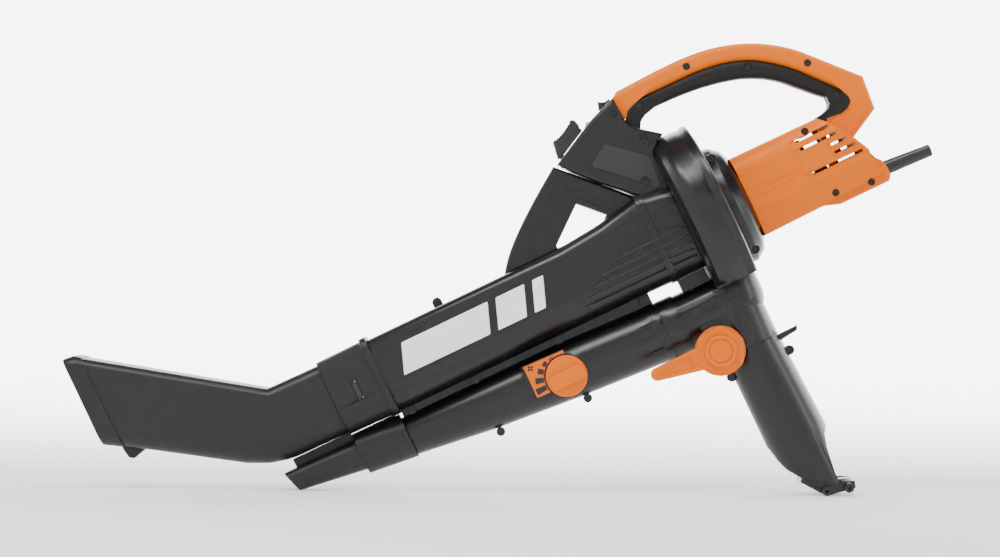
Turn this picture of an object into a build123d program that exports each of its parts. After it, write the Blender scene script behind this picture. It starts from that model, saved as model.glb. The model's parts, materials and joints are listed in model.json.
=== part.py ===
"""Corded leaf blower and vacuum, as an assembly of separate pieces.

Machine frame: X runs along the fan axis towards the motor, Z is up and Y is the
machine's right side. The origin is on the fan axis at the motor flange's rear face.
Lengths are millimetres. At the end every piece is turned to the pose in which the
machine stands on its bag foot and blower tip.
"""

import os
from math import cos, radians, sin

from build123d import *

# ---- driving dimensions ------------------------------------------------------------
STAND_TILT = 26.05          # fan axis above the floor when the machine stands, degrees
WALL = 2.6                  # wall of the moulded shells
FIT = 0.05                  # radial clearance of a running fit

CASE_R = 115.0              # fan casing
CASE_FRONT = -83.0
CASE_SPLIT = -42.0
CASE_REAR = -30.0
CASE_BACK_WALL = 4.0
CASE_FLOOR = -86.0          # flat underside, where the duct starts
FLANGE_R = 77.0
IMPELLER_R = 80.0
IMPELLER_FRONT = -72.0
IMPELLER_BACK = -46.0

NECK_FRONT = -124.0         # joint between the machine and the tube unit
NECK_W = 98.0
NECK_LOW, NECK_HIGH = -56.0, 60.0

TUBE_FRONT = -506.0         # joint between the tube unit and the nozzle unit
TUBE_FLARE = -240.0
TUBE_W = 90.0
TUBE_LOW, TUBE_HIGH = -54.7, 42.8
TUBE_R_LOW, TUBE_R_HIGH = 34.0, 15.0

BLOW_STATIONS = [           # x, diameter of the blower tube, height of its centre
    (-506.0, 50.0, -88.4),
    (-406.0, 63.0, -94.8),
    (-293.0, 72.6, -99.6),
    (-161.0, 75.0, -106.6),
]

COLLAR_FRONT = -571.0
MOUTH_X = -852.0
MOUTH_HIGH = 182.0
MOUTH_W = 94.0

DUCT_R = 36.0               # run behind the blower tube
DUCT_Z = -107.5
ELBOW_X = -66.5             # bulge below the fan casing, where the run turns down
ELBOW_R = 37.5
DISCHARGE_X = -72.5         # tube that leads down to the bag

FLAP_X, FLAP_Z = -112.3, -157.0     # axis of the mode lever
LEVER_R = 31.2
DIAL_X, DIAL_Z = -297.2, -103.4     # axis of the air dial
DIAL_R = 26.0

HANDLE_W = 35.0
GRIP_W = 38.0
SWITCH_W = 64.0
LOOP_W = 40.0
MOTOR_LEN = 174.0
MOTOR_W = 100.0
MOTOR_FACET_Z = -18.5

SHAFT_R = 5.0
SHAFT_FRONT, SHAFT_REAR = -78.0, 134.0

SCREW_HEAD_R = 4.2
SCREW_HEAD_T = 2.4
SCREW_SHANK_R = 1.7
SCREW_LEN = 16.0
POST_R = 6.0
RECESS_R = 4.8
CUT_OUT = 60.0              # length of a cut that leaves the part sideways

LEFT, RIGHT = Keep.TOP, Keep.BOTTOM  # sides of Plane.XZ, whose normal is -Y

PIECES = {}


def keep(part, label):
    """Remember a finished piece under its node name."""
    part.label = label
    PIECES[label] = part


def keep_halves(part, label):
    """Split a hollow piece along the middle plane into its two mouldings."""
    for side, where in (("left", LEFT), ("right", RIGHT)):
        with BuildPart() as half:
            add(part)
            split(bisect_by=Plane.XZ, keep=where)
        keep(half.part, f"{label}_{side}")


def side_prism(points, half_width, radius=0.0, mode=Mode.ADD):
    """Extrude a closed side outline evenly about the middle plane."""
    with BuildSketch(Plane.XZ) as outline:
        with BuildLine():
            Polyline(*points, close=True)
        make_face()
        if radius:
            fillet(outline.vertices(), radius)
    extrude(outline.sketch, amount=half_width, both=True, mode=mode)


def cut_sides(points, y_from, grow=0.0):
    """Cut an outline away on both sides, everywhere further out than y_from."""
    for side in (-1, 1):
        with BuildSketch(Plane.XZ.offset(-side * y_from)) as outline:
            with BuildLine():
                Polyline(*points, close=True)
            make_face()
            if grow:
                offset(amount=grow, kind=Kind.INTERSECTION)
        extrude(outline.sketch, amount=-side * CUT_OUT, mode=Mode.SUBTRACT)


def rod_y(x, z, radius, y0, y1, mode=Mode.ADD):
    """A round bar or hole along Y from y0 to y1."""
    with BuildSketch(Plane.XZ.offset(-y1)) as disc:
        with Locations((x, z)):
            Circle(radius)
    extrude(disc.sketch, amount=y1 - y0, mode=mode)


def rod_x(y, z, radius, x0, x1, mode=Mode.ADD):
    """A round bar or hole along X from x0 to x1."""
    with BuildSketch(Plane.YZ.offset(x0)) as disc:
        with Locations((y, z)):
            Circle(radius)
    extrude(disc.sketch, amount=x1 - x0, mode=mode)


def tube_section(x, width, low, high, r_low, r_high):
    """A four-sided tube section at x, with its own lower and upper corner radii."""
    with BuildSketch(Plane.YZ.offset(x)) as section:
        with Locations((0, (low + high) / 2)):
            Rectangle(width, high - low)
        fillet(section.vertices().group_by(Axis.Y)[-1], r_high)
        fillet(section.vertices().group_by(Axis.Y)[0], r_low)
    return section.sketch


def box_tube(stations, inset=0.0, mode=Mode.ADD):
    """Loft straight between tube sections, each drawn in by the inset."""
    sections = []
    for x, width, low, high, r_low, r_high in stations:
        sections.append(tube_section(
            x, width - 2 * inset, low + inset, high - inset,
            max(r_low - inset, 1.5), max(r_high - inset, 1.5),
        ))
    loft(sections, ruled=True, mode=mode)


def round_tube(stations, inset=0.0, mode=Mode.ADD):
    """Loft through circles given as x, diameter and height of the centre."""
    sections = []
    for x, diameter, z in stations:
        with BuildSketch(Plane.YZ.offset(x)) as section:
            with Locations((0, z)):
                Circle(diameter / 2 - inset)
        sections.append(section.sketch)
    loft(sections, ruled=True, mode=mode)


def screw_seats(points, depth_y):
    """Cut the recess and the bore of each clamshell screw from the left side."""
    for x, z in points:
        rod_y(x, z, RECESS_R, -depth_y - 40, -depth_y, mode=Mode.SUBTRACT)
        rod_y(x, z, SCREW_SHANK_R + FIT, -depth_y, -depth_y + SCREW_LEN + 1, mode=Mode.SUBTRACT)


def screw_group(points_and_depths, label):
    """Pan-head screws with a cross recess, all in one node."""
    with BuildPart() as group:
        for x, z, depth in points_and_depths:
            rod_y(x, z, SCREW_SHANK_R, -depth, -depth + SCREW_LEN)
            rod_y(x, z, SCREW_HEAD_R, -depth - SCREW_HEAD_T, -depth)
            for length, height in ((4.6, 1.1), (1.1, 4.6)):
                with BuildSketch(Plane.XZ.offset(depth + SCREW_HEAD_T - 1.3)) as cross:
                    with Locations((x, z)):
                        Rectangle(length, height)
                extrude(cross.sketch, amount=3, mode=Mode.SUBTRACT)
    keep(group.part, label)


# ---- motor housing -----------------------------------------------------------------
MOTOR_SIDE = [
    (0, 52.4), (119.5, 51.6), (129.0, 41.0), (151.0, 8.0), (158.5, -7.0), (165.0, -24.0),
    (170.5, -30.5), (173.0, -38.0), (173.0, -51.5), (168.0, -57.6), (103.0, -57.9), (83.0, -50.6), (0, -52.4),
]
# lower strip that carries the cord, set back from the sides
CORD_STRIP = [
    (80, -49.5), (103, -47.8), (162.0, -45.2), (165.5, -40.0), (158.0, -16.0), (163.0, -10.0),
    (185, -20), (185, -65), (80, -65),
]
CORD_STRIP_Y = 33.5
MOTOR_SCREWS = [(98.7, 43.0), (101.1, -42.0), (147.4, -49.0)]
MOTOR_SCREW_Y = [36.0, 36.0, 31.0]
CORD_X, CORD_Z = 172.0, -41.5
CORD_DROP = 3.6             # how far the cord exit points below the fan axis, degrees
CORD_R = 8.9
MOTOR_WALL = 3.0


def motor_section(x0, x1, inset, mode=Mode.ADD):
    """Body of the motor housing: flat sides, round top and a lower facet."""
    half = MOTOR_W / 2 - inset
    top = 52.4 - inset
    with BuildSketch(Plane.YZ.offset(x0)) as section:
        with BuildLine():
            Polyline(
                (-half, MOTOR_FACET_Z), (-half, top), (half, top), (half, MOTOR_FACET_Z),
                (half - 16, -57.9 + inset), (-half + 16, -57.9 + inset), close=True,
            )
        make_face()
        fillet(section.vertices().group_by(Axis.Y)[-1], 26)
        fillet(section.vertices().group_by(Axis.Y)[0], 9)
    extrude(section.sketch, amount=x1 - x0, mode=mode)


with BuildPart() as motor_void:
    motor_section(-1, MOTOR_LEN - MOTOR_WALL, MOTOR_WALL)
    with BuildSketch(Plane.XZ) as void_side:
        with BuildLine():
            Polyline(*MOTOR_SIDE, close=True)
        make_face()
        offset(amount=-MOTOR_WALL, kind=Kind.INTERSECTION)
        Rectangle(20, 98)
    extrude(amount=60, both=True, mode=Mode.INTERSECT)
    cut_sides(CORD_STRIP, CORD_STRIP_Y - MOTOR_WALL, grow=MOTOR_WALL)

with BuildPart() as cord_boot:
    with BuildSketch(Plane.XY) as boot_profile:
        with BuildLine():
            Polyline((156, 0), (156, CORD_R + 2.2), (160, CORD_R + 2.2), (160, CORD_R), (182, CORD_R))
            Line((182, CORD_R), (234, 7.6))
            RadiusArc((234, 7.6), (235.5, 5.6), 1.8)
            Polyline((235.5, 5.6), (235.5, 4.1), (214, 4.1), (214, 0), (156, 0))
        make_face()
    revolve(boot_profile.sketch, axis=Axis.X)
BOOT_TURN = Location((0, 0, CORD_Z)) * Location((CORD_X, 0, 0), (0, CORD_DROP, 0)) * Location((-CORD_X, 0, 0))
keep(BOOT_TURN * cord_boot.part, "cord_boot")

VENT_SLOTS = [              # x from, x to, height of each air slot
    (81, 127, 36.5), (83, 134, 25.0), (120, 141, 14.0), (120, 148, 3.4), (84, 153, -8.4),
]

VENT_CHANNELS = [           # x from, x to, z from, z to of the shallow channel round each slot
    (75, 160, 30.8, 39.2), (75, 160, 19.6, 27.8), (116, 160, 9.6, 17.2), (116, 165, -0.6, 6.4),
    (76, 165, -13.4, -5.6),
]
VENT_T = 3.6
STAY_LEN = 56.0             # stays between the rear bearing seat and the shell
CHANNEL_DEPTH = 1.2

with BuildPart() as vent_channels:
    for x0, x1, z0, z1 in VENT_CHANNELS:
        side_prism([(x0, z0), (x1, z0), (x1, z1), (x0, z1)], MOTOR_W / 2)
    motor_section(-1, MOTOR_LEN + 1, CHANNEL_DEPTH, mode=Mode.SUBTRACT)

with BuildPart() as motor_housing:
    motor_section(0, MOTOR_LEN, 0.0)
    side_prism(MOTOR_SIDE, 60, mode=Mode.INTERSECT)
    add(motor_void.part, mode=Mode.SUBTRACT)
    add(vent_channels.part, mode=Mode.SUBTRACT)
    for x0, x1, z in VENT_SLOTS:
        with BuildSketch(Plane.XZ):
            with Locations(((x0 + x1) / 2, z)):
                SlotOverall(x1 - x0, VENT_T)
        extrude(amount=60, both=True, mode=Mode.SUBTRACT)
    for (x, z), depth in zip(MOTOR_SCREWS, MOTOR_SCREW_Y):
        rod_y(x, z, POST_R, -depth - 6, depth + 6)
    cut_sides(CORD_STRIP, CORD_STRIP_Y)
    motor_section(0, MOTOR_LEN, 0.0, mode=Mode.INTERSECT)
    side_prism(MOTOR_SIDE, 60, mode=Mode.INTERSECT)
    # cradle ribs round the stator, seat of the rear bearing and mouth for the cord boot
    for x0 in (46, 64):
        rod_x(0, 0, 52.0, x0, x0 + 3)
    rod_x(0, 0, 13.0, 112, 124)
    for angle in (45, 135, 225, 315):
        with BuildSketch(Plane.YZ.offset(114)):
            with Locations((28 * cos(radians(angle)), 28 * sin(radians(angle)))):
                Rectangle(STAY_LEN, 3, rotation=angle)
        extrude(amount=8)
    motor_section(0, MOTOR_LEN, 0.0, mode=Mode.INTERSECT)
    rod_x(0, 0, 42.05, 40, 75, mode=Mode.SUBTRACT)
    rod_x(0, 0, 11.0 + FIT, 116, 125, mode=Mode.SUBTRACT)
    rod_x(0, 0, SHAFT_R + 1.5, 110, 117, mode=Mode.SUBTRACT)
    add(BOOT_TURN * cord_boot.part, mode=Mode.SUBTRACT)
    rod_x(0, CORD_Z, 8, 150, 180, mode=Mode.SUBTRACT)
    for (x, z), depth in zip(MOTOR_SCREWS, MOTOR_SCREW_Y):
        screw_seats([(x, z)], depth)
keep_halves(motor_housing.part, "motor_housing")

# ---- motor flange --------------------------------------------------------------------
FLANGE_SCREWS = [(-19.5, 62.0), (-19.5, -62.0)]

with BuildPart() as motor_flange:
    with BuildSketch(Plane.XZ) as flange_profile:
        with BuildLine():
            Polyline(
                (-29.7, 7), (-29.7, FLANGE_R), (-18, FLANGE_R), (-6, 68), (-0.3, 56), (-0.3, 46.5), (-4, 46.5),
                (-4, 53), (-9, 64), (-19.5, 72.5), (-26, 72.5), (-26, 16), (-8, 16), (-8, 11.05),
                (-18, 11.05), (-18, 7), close=True,
            )
        make_face()
    revolve(flange_profile.sketch, axis=Axis.X)
    for x, z in FLANGE_SCREWS:
        rod_y(x, z, POST_R, -44, -20)
        rod_y(x, z, RECESS_R, -60, -40, mode=Mode.SUBTRACT)
        rod_y(x, z, SCREW_SHANK_R + FIT, -40, -23, mode=Mode.SUBTRACT)
keep(motor_flange.part, "motor_flange")

# ---- fan casing ----------------------------------------------------------------------
OUTLET_X0, OUTLET_X1 = -78.0, -46.0
OUTLET_HALF = 26.0

with BuildPart() as casing:
    with BuildSketch(Plane.XZ) as casing_profile:
        with BuildLine():
            Polyline(
                (CASE_FRONT, 0), (CASE_FRONT, 96), (-78, 108), (-66, CASE_R - 1), (-40, CASE_R - 2),
                (-36, CASE_R), (-32, CASE_R), (CASE_REAR, CASE_R - 3), (CASE_REAR, 0), close=True,
            )
        make_face()
    revolve(casing_profile.sketch, axis=Axis.X)
    with BuildSketch(Plane.XZ) as chamber_profile:
        with BuildLine():
            Polyline(
                (CASE_FRONT + WALL, 0), (CASE_FRONT + WALL, 94), (-76, 105), (-65, CASE_R - 4),
                (CASE_REAR - CASE_BACK_WALL, CASE_R - 5), (CASE_REAR - CASE_BACK_WALL, 0), close=True,
            )
        make_face()
    revolve(chamber_profile.sketch, axis=Axis.X, mode=Mode.SUBTRACT)
    # flat underside with its own wall, open only above the duct
    with Locations((-56.5, 0, CASE_FLOOR + 1.5)):
        Box(53, 148, 3)
    with Locations((-56.5, 0, CASE_FLOOR - 25)):
        Box(60, 240, 50, mode=Mode.SUBTRACT)
    with Locations(((OUTLET_X0 + OUTLET_X1) / 2, 0, CASE_FLOOR)):
        Box(OUTLET_X1 - OUTLET_X0, 2 * OUTLET_HALF, 20, mode=Mode.SUBTRACT)
    # inlet eye at the front, shaft hole at the rear
    rod_x(0, 0, 42.0, CASE_FRONT - 1, CASE_FRONT + 4, mode=Mode.SUBTRACT)
    rod_x(0, 0, 12.0, -39, -29, mode=Mode.SUBTRACT)

with BuildPart() as casing_front:
    add(casing.part)
    split(bisect_by=Plane.YZ.offset(CASE_SPLIT), keep=Keep.BOTTOM)
with BuildPart() as casing_rear:
    add(casing.part)
    split(bisect_by=Plane.YZ.offset(CASE_SPLIT), keep=Keep.TOP)
keep(casing_front.part, "fan_casing_front")
keep(casing_rear.part, "fan_casing_rear")

# ---- inlet neck and finger guard -----------------------------------------------------
NECK_R_LOW = 35.0
LOUVRE_Z = (1.2, -9.5, -19.0, -29.0, -38.5)     # heights of the rails
LOUVRE_T = 2.2
LOUVRE_DEPTH = 1.3
LOUVRE_FIELD = [(-240, -36), (-236, -28), (-150, 20), (-140, 20), (-86.5, 3.0), (-86.5, -36)]
JOINT_RING_T = 1.6          # height of the rings on both sides of the joint
JOINT_RING_W = 4.4

NECK = [
    (NECK_FRONT, NECK_W - 2, NECK_LOW, NECK_HIGH, NECK_R_LOW, 18),
    (CASE_FRONT - 0.02, NECK_W, NECK_LOW, NECK_HIGH - 4, NECK_R_LOW, 24),
]



def louvre_grooves(stations):
    """The shallow grooves between the rails, on both sides of the tube given by the stations."""
    with BuildPart() as grooves:
        side_prism(LOUVRE_FIELD, 80)
        for z in LOUVRE_Z:
            with Locations((-165, 0, z)):
                Box(200, 160, LOUVRE_T, mode=Mode.SUBTRACT)
        box_tube(stations, mode=Mode.INTERSECT)
        box_tube(stations, inset=LOUVRE_DEPTH, mode=Mode.SUBTRACT)
    return grooves.part


def joint_ring(x, section, clear=0.0, mode=Mode.ADD):
    """A low ring round a tube end, from x towards the motor by the ring width."""
    _, width, low, high, r_low, r_high = section
    grow = JOINT_RING_T + clear
    ring = tube_section(x - clear, width + 2 * grow, low - grow, high + grow, r_low + grow, r_high + grow)
    extrude(ring, amount=JOINT_RING_W + 2 * clear, mode=mode)


with BuildPart() as inlet_neck:
    box_tube(NECK)
    joint_ring(NECK_FRONT, NECK[0])
    box_tube(NECK, inset=WALL, mode=Mode.SUBTRACT)
    add(louvre_grooves(NECK), mode=Mode.SUBTRACT)
keep(inlet_neck.part, "inlet_neck")

with BuildPart() as inlet_guard:
    with Locations((-100, 0, 0)):
        Box(3, NECK_W - 2 * WALL - 1, 3)
        Box(3, 3, NECK_HIGH - NECK_LOW - 22)
        with Locations((0, 0, 26), (0, 0, -26)):
            Box(3, NECK_W - 2 * WALL - 9, 3)
        with Locations((0, 24, 0), (0, -24, 0)):
            Box(3, 3, NECK_HIGH - NECK_LOW - 30)
keep(inlet_guard.part, "inlet_guard")

# ---- duct, discharge tube and bag foot -------------------------------------------------
FLOOR_CLEAR = 0.02
ELBOW_LOW = -168.6
POCKET_X0, POCKET_X1 = -122.0, -85.0
POCKET_HALF = 34.6
POCKET_TOP = -120.0
DUCT_FRONT = -160.9
COLLAR_BACK = -137.0
COLLAR_T = 2.5
LEVER_SHAFT_R = 4.0
DUCT_BOSSES = [(-110.0, -70.5), (-157.0, -150.5)]
BRACKET = [(-121.5, -100), (-121.5, -56.5), (-84, -56.5), (-84, -100)]
BRACKET_HALF = 12.0


def duct_space(inset, mode):
    """Run behind the blower tube, round elbow, throat and hinge pocket, drawn in by the inset."""
    rod_x(0, DUCT_Z, DUCT_R - inset, DUCT_FRONT - inset, ELBOW_X, mode=mode)
    with Locations((ELBOW_X, 0, DUCT_Z)):
        Sphere(ELBOW_R - inset, mode=mode)
    with BuildSketch(Plane.XY.offset(DUCT_Z)) as bulge:
        with Locations((ELBOW_X, 0)):
            Circle(ELBOW_R - inset)
    extrude(bulge.sketch, amount=CASE_FLOOR - DUCT_Z - FLOOR_CLEAR - inset, mode=mode)
    with BuildSketch(Plane.XY.offset(ELBOW_LOW)) as throat:
        with Locations((DISCHARGE_X, 0)):
            Circle(37 - inset)
    extrude(throat.sketch, amount=DUCT_Z - ELBOW_LOW, mode=mode)
    pocket_floor = ELBOW_LOW + inset
    with Locations(((POCKET_X0 + POCKET_X1) / 2, 0, (pocket_floor + POCKET_TOP) / 2)):
        Box(POCKET_X1 - POCKET_X0 - 2 * inset, 2 * (POCKET_HALF - inset), POCKET_TOP - pocket_floor, mode=mode)


def below_casing(inset):
    """Keep the duct's top below the casing floor wherever the casing stands above it."""
    x0, x1 = CASE_FRONT - FLOOR_CLEAR - inset, 0.0
    z0, z1 = CASE_FLOOR - FLOOR_CLEAR - inset, -40.0
    with Locations(((x0 + x1) / 2, 0, (z0 + z1) / 2)):
        Box(x1 - x0, 120, z1 - z0, mode=Mode.SUBTRACT)


with BuildPart() as duct_void:
    duct_space(WALL, Mode.ADD)
    below_casing(WALL)
    with Locations(((OUTLET_X0 + OUTLET_X1) / 2, 0, CASE_FLOOR)):
        Box(OUTLET_X1 - OUTLET_X0, 2 * OUTLET_HALF, 12)

with BuildPart() as duct:
    rod_x(0, DUCT_Z, DUCT_R + COLLAR_T, DUCT_FRONT, COLLAR_BACK)
    duct_space(0.0, Mode.ADD)
    for side in (-1, 1):
        rod_y(FLAP_X, FLAP_Z, 13, side * 34.5 - 4, side * 34.5 + 4)
    for x, z in DUCT_BOSSES:
        rod_y(x, z, 7, -8, 8)
    side_prism(BRACKET, BRACKET_HALF)
    below_casing(0.0)
    box_tube(NECK, inset=-FLOOR_CLEAR, mode=Mode.SUBTRACT)
    joint_ring(NECK_FRONT, NECK[0], clear=FLOOR_CLEAR, mode=Mode.SUBTRACT)
    add(duct_void.part, mode=Mode.SUBTRACT)
    rod_y(FLAP_X, FLAP_Z, LEVER_SHAFT_R + FIT, -45, 45, mode=Mode.SUBTRACT)
    screw_seats(DUCT_BOSSES[1:], 6)
    screw_seats(DUCT_BOSSES[:1], BRACKET_HALF - 2)
keep_halves(duct.part, "duct")

OUTLET_SIDE = [
    (-114, -150), (-114, -288), (-107.4, -298), (-104.3, -314.5), (-99.5, -328.4), (-88.9, -343.3),
    (-53.5, -367.8), (-30.5, -374.6), (-29.0, -371.5), (-48.2, -364.0), (-48.2, -353.7),
    (-46.2, -340.8), (-43.5, -322.0), (-38.5, -306.5), (-30.2, -298.6), (-26, -290), (-26, -150),
]
OUTLET_VOID = [
    (-114, -150), (-114, -288), (-104.6, -298.5), (-101.5, -314.5), (-96.8, -327.3), (-87.0, -340.8),
    (-52.5, -365.0), (-28.5, -371.9), (-20, -371.9), (-20, -150),
]
DISCHARGE_TUBE = [          # height, radius, x of the centre
    (ELBOW_LOW - 0.02, 37.0, DISCHARGE_X), (-290.0, 39.4, -69.9), (-376.0, 39.4, -69.9),
]
DISCHARGE_BOSSES = [(-32.0, -195.0), (-111.5, -194.5)]
BAG_HOOK = [(-40.0, -171.5), (-9.9, -171.0), (-12.6, -176.6), (-40.0, -180.0)]


def discharge_space(inset, mode):
    """The slightly tapered tube that leads down from the chamber."""
    sections = []
    for z, radius, x in DISCHARGE_TUBE:
        with BuildSketch(Plane.XY.offset(z)) as section:
            with Locations((x, 0)):
                Circle(radius - inset)
        sections.append(section.sketch)
    loft(sections, ruled=True, mode=mode)


with BuildPart() as discharge_void:
    discharge_space(WALL, Mode.ADD)
    side_prism(OUTLET_VOID, 50, mode=Mode.INTERSECT)
with BuildPart() as discharge_tube:
    discharge_space(0.0, Mode.ADD)
    side_prism(OUTLET_SIDE, 50, mode=Mode.INTERSECT)
    for x, z in DISCHARGE_BOSSES:
        rod_y(x, z, 6, -8, 8)
    side_prism(BAG_HOOK, 6)
    add(discharge_void.part, mode=Mode.SUBTRACT)
    screw_seats(DISCHARGE_BOSSES, 6)
keep_halves(discharge_tube.part, "discharge_tube")

FOOT_BARS = [(-67.5, -371.0), (-41.0, -379.3)]
FOOT_R = 6.0
FOOT_HALF = 40.0
FOOT_SIDE = [
    (-88.9, -343.3), (-53.5, -367.8), (-30.5, -374.6), (-33.0, -383.5), (-66.0, -378.0),
    (-76.0, -370.0), (-92.0, -348.0),
]

with BuildPart() as foot_trim:
    discharge_space(-0.02, Mode.ADD)
    side_prism(OUTLET_SIDE, 50, mode=Mode.INTERSECT)
with BuildPart() as bag_foot:
    side_prism(FOOT_SIDE, 30)
    for x, z in FOOT_BARS:
        rod_y(x, z, FOOT_R, -FOOT_HALF, FOOT_HALF)
    add(foot_trim.part, mode=Mode.SUBTRACT)
    for x, z in FOOT_BARS:
        rod_y(x, z, 2.1, -FOOT_HALF - 1, FOOT_HALF + 1, mode=Mode.SUBTRACT)
keep(bag_foot.part, "bag_foot")

# ---- mode lever and diverter flap -------------------------------------------------------
LEVER_Y0, LEVER_Y1 = -49.0, -40.0
LEVER_TIP_X, LEVER_TIP_Z, LEVER_TIP_R = -195.0, -149.8, 8.3
LEVER_ARM = [(-195.5, -141.5), (-128, -140.6), (-128, -172.6), (-196.3, -158.0)]
LEVER_DISH = [(-193, -146.6), (-148, -146.6), (-148, -163.2), (-193, -153.8)]
LEVER_FACET = 28.2          # distance of the six flats of the knob's front from its axis
FLAP_DISC_R = 30.6
FLAP_DISC_X = 38.4
FLAP_T = 2.4

with BuildPart() as mode_lever:
    with BuildSketch(Plane.XZ.offset(-LEVER_Y1)) as lever_plan:
        with Locations((LEVER_TIP_X, LEVER_TIP_Z)):
            Circle(LEVER_TIP_R)
        with BuildLine():
            Polyline(*LEVER_ARM, close=True)
        make_face()
    extrude(lever_plan.sketch, amount=LEVER_Y1 - LEVER_Y0 - 1.5)
    fillet(mode_lever.faces().sort_by(Axis.Y)[0].edges(), 2.0)
    with BuildSketch(Plane.XZ.offset(-LEVER_Y0 - 3.5)) as dish:
        with BuildLine():
            Polyline(*LEVER_DISH, close=True)
        make_face()
        fillet(dish.vertices(), 3)
    extrude(dish.sketch, amount=8, mode=Mode.SUBTRACT)
    rod_y(FLAP_X, FLAP_Z, LEVER_R, LEVER_Y0 + 4, LEVER_Y1)
    with BuildSketch(Plane.XZ.offset(-LEVER_Y0 - 4)) as knob_front:
        with Locations((FLAP_X, FLAP_Z)):
            Circle(LEVER_R)
            RegularPolygon(LEVER_FACET, 6, major_radius=False, rotation=5, mode=Mode.INTERSECT)
    extrude(knob_front.sketch, amount=4)
    chamfer(mode_lever.faces().sort_by(Axis.Y)[0].edges(), 1.2)
    rod_y(FLAP_X, FLAP_Z, 20, -56, LEVER_Y0 + 1)
    fillet(mode_lever.faces().sort_by(Axis.Y)[0].edges(), 2.5)
    rod_y(FLAP_X, FLAP_Z, 15, -58, -53, mode=Mode.SUBTRACT)
    rod_y(FLAP_X, FLAP_Z, LEVER_SHAFT_R, -58, -38, mode=Mode.SUBTRACT)
keep(mode_lever.part, "mode_lever")

with BuildPart() as lever_cap:
    rod_y(FLAP_X, FLAP_Z, 14.8, -54.6, -53)
    fillet(lever_cap.faces().sort_by(Axis.Y)[0].edges(), 0.8)
keep(lever_cap.part, "lever_cap")

with BuildPart() as lever_shaft:
    rod_y(FLAP_X, FLAP_Z, LEVER_SHAFT_R, -52.9, 38.0)
keep(lever_shaft.part, "lever_shaft")

with BuildPart() as diverter_flap:
    rod_y(FLAP_X, FLAP_Z, 6.2, -30.5, 30.5)
    with BuildSketch(Plane.XY.offset(FLAP_Z - FLAP_T / 2)) as flap_plan:
        with Locations((FLAP_X + FLAP_DISC_X / 2, 0)):
            Rectangle(FLAP_DISC_X, 60)
        with Locations((FLAP_X + FLAP_DISC_X, 0)):
            Circle(FLAP_DISC_R)
    extrude(amount=FLAP_T)
    rod_y(FLAP_X, FLAP_Z, LEVER_SHAFT_R, -40, 40, mode=Mode.SUBTRACT)
keep(diverter_flap.part, "diverter_flap")

# ---- tube unit ----------------------------------------------------------------------------
VAC_TUBE = [
    (TUBE_FRONT, TUBE_W, TUBE_LOW, TUBE_HIGH, TUBE_R_LOW, TUBE_R_HIGH),
    (TUBE_FLARE, TUBE_W, TUBE_LOW, TUBE_HIGH, TUBE_R_LOW, TUBE_R_HIGH),
    (-180.0, TUBE_W + 3, TUBE_LOW, 49.0, TUBE_R_LOW, 17),
    (NECK_FRONT - 0.02, NECK_W - 2, TUBE_LOW - 1, NECK_HIGH, 34, 18),
]
TUBE_BOSSES = [(-490.0, -60.4), (-401.5, -60.4), (-286.0, -60.4), (-171.0, -62.0)]
TOP_BOSSES = [(-403.5, 48.0)]
BLOW_BOSSES = [(-401.0, -132.0), (-285.0, -141.0)]

with BuildPart() as vac_tube:
    box_tube(VAC_TUBE)
    joint_ring(NECK_FRONT - JOINT_RING_W - FLOOR_CLEAR, VAC_TUBE[-1])
    for x, z in TOP_BOSSES:
        rod_y(x, z, 6, -9, 9)
        with Locations((x, 0, z - 5)):
            Box(12, 18, 8)
    box_tube(VAC_TUBE, inset=WALL, mode=Mode.SUBTRACT)
    add(louvre_grooves(VAC_TUBE[1:]), mode=Mode.SUBTRACT)
    screw_seats(TOP_BOSSES, 7)
keep_halves(vac_tube.part, "vac_tube")

TUBE_FINS = (-88.5, -107.0, -125.0)     # heights of the thin fins at the tube's rear
FIN_X0, FIN_X1 = -190.0, -165.0
FIN_T = 1.2
FIN_R = 38.6
PAD_Y = -38.0
DIAL_PAD = [(-344.0, -69.5), (-287.0, -71.5), (-287.5, -77.0), (-321.5, -115.0), (-344.5, -114.0)]

with BuildPart() as blower_tube:
    round_tube(BLOW_STATIONS)
    rod_x(0, -106.8, 38.4, -172, -161)
    side_prism([(-502.9, -54.8), (-180, -54.8), (-161, -55.4), (-161, -71), (-502.9, -66)], 1.6)
    for x, z in TUBE_BOSSES + BLOW_BOSSES:
        rod_y(x, z, 5.5, -8, 8)
    with BuildSketch(Plane.XZ) as pad:
        with BuildLine():
            Polyline(*DIAL_PAD, close=True)
        make_face()
        with Locations((DIAL_X, DIAL_Z)):
            Circle(DIAL_R + 1.5)
    extrude(amount=-PAD_Y)
    rod_y(DIAL_X, DIAL_Z, 9, 25, 38)
    for z in TUBE_FINS:
        half = (FIN_R**2 - (z - DUCT_Z) ** 2) ** 0.5
        with Locations(((FIN_X0 + FIN_X1) / 2, 0, z)):
            Box(FIN_X1 - FIN_X0, 2 * half, FIN_T)
    round_tube(BLOW_STATIONS, inset=WALL, mode=Mode.SUBTRACT)
    rod_y(DIAL_X, DIAL_Z, 4.0 + FIT, -60, 36, mode=Mode.SUBTRACT)
    screw_seats(TUBE_BOSSES + BLOW_BOSSES, 5.5)
keep_halves(blower_tube.part, "blower_tube")

with BuildPart() as dial_label:
    with BuildSketch(Plane.XZ.offset(-PAD_Y + 0.02)) as label_plan:
        with BuildLine():
            Polyline(*[(x * 0.94 + DIAL_X * 0.06, z * 0.94 - 88 * 0.06) for x, z in DIAL_PAD], close=True)
        make_face()
        with Locations((DIAL_X, DIAL_Z)):
            Circle(DIAL_R + 2, mode=Mode.SUBTRACT)
    extrude(amount=0.8)
keep(dial_label.part, "dial_label")

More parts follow.
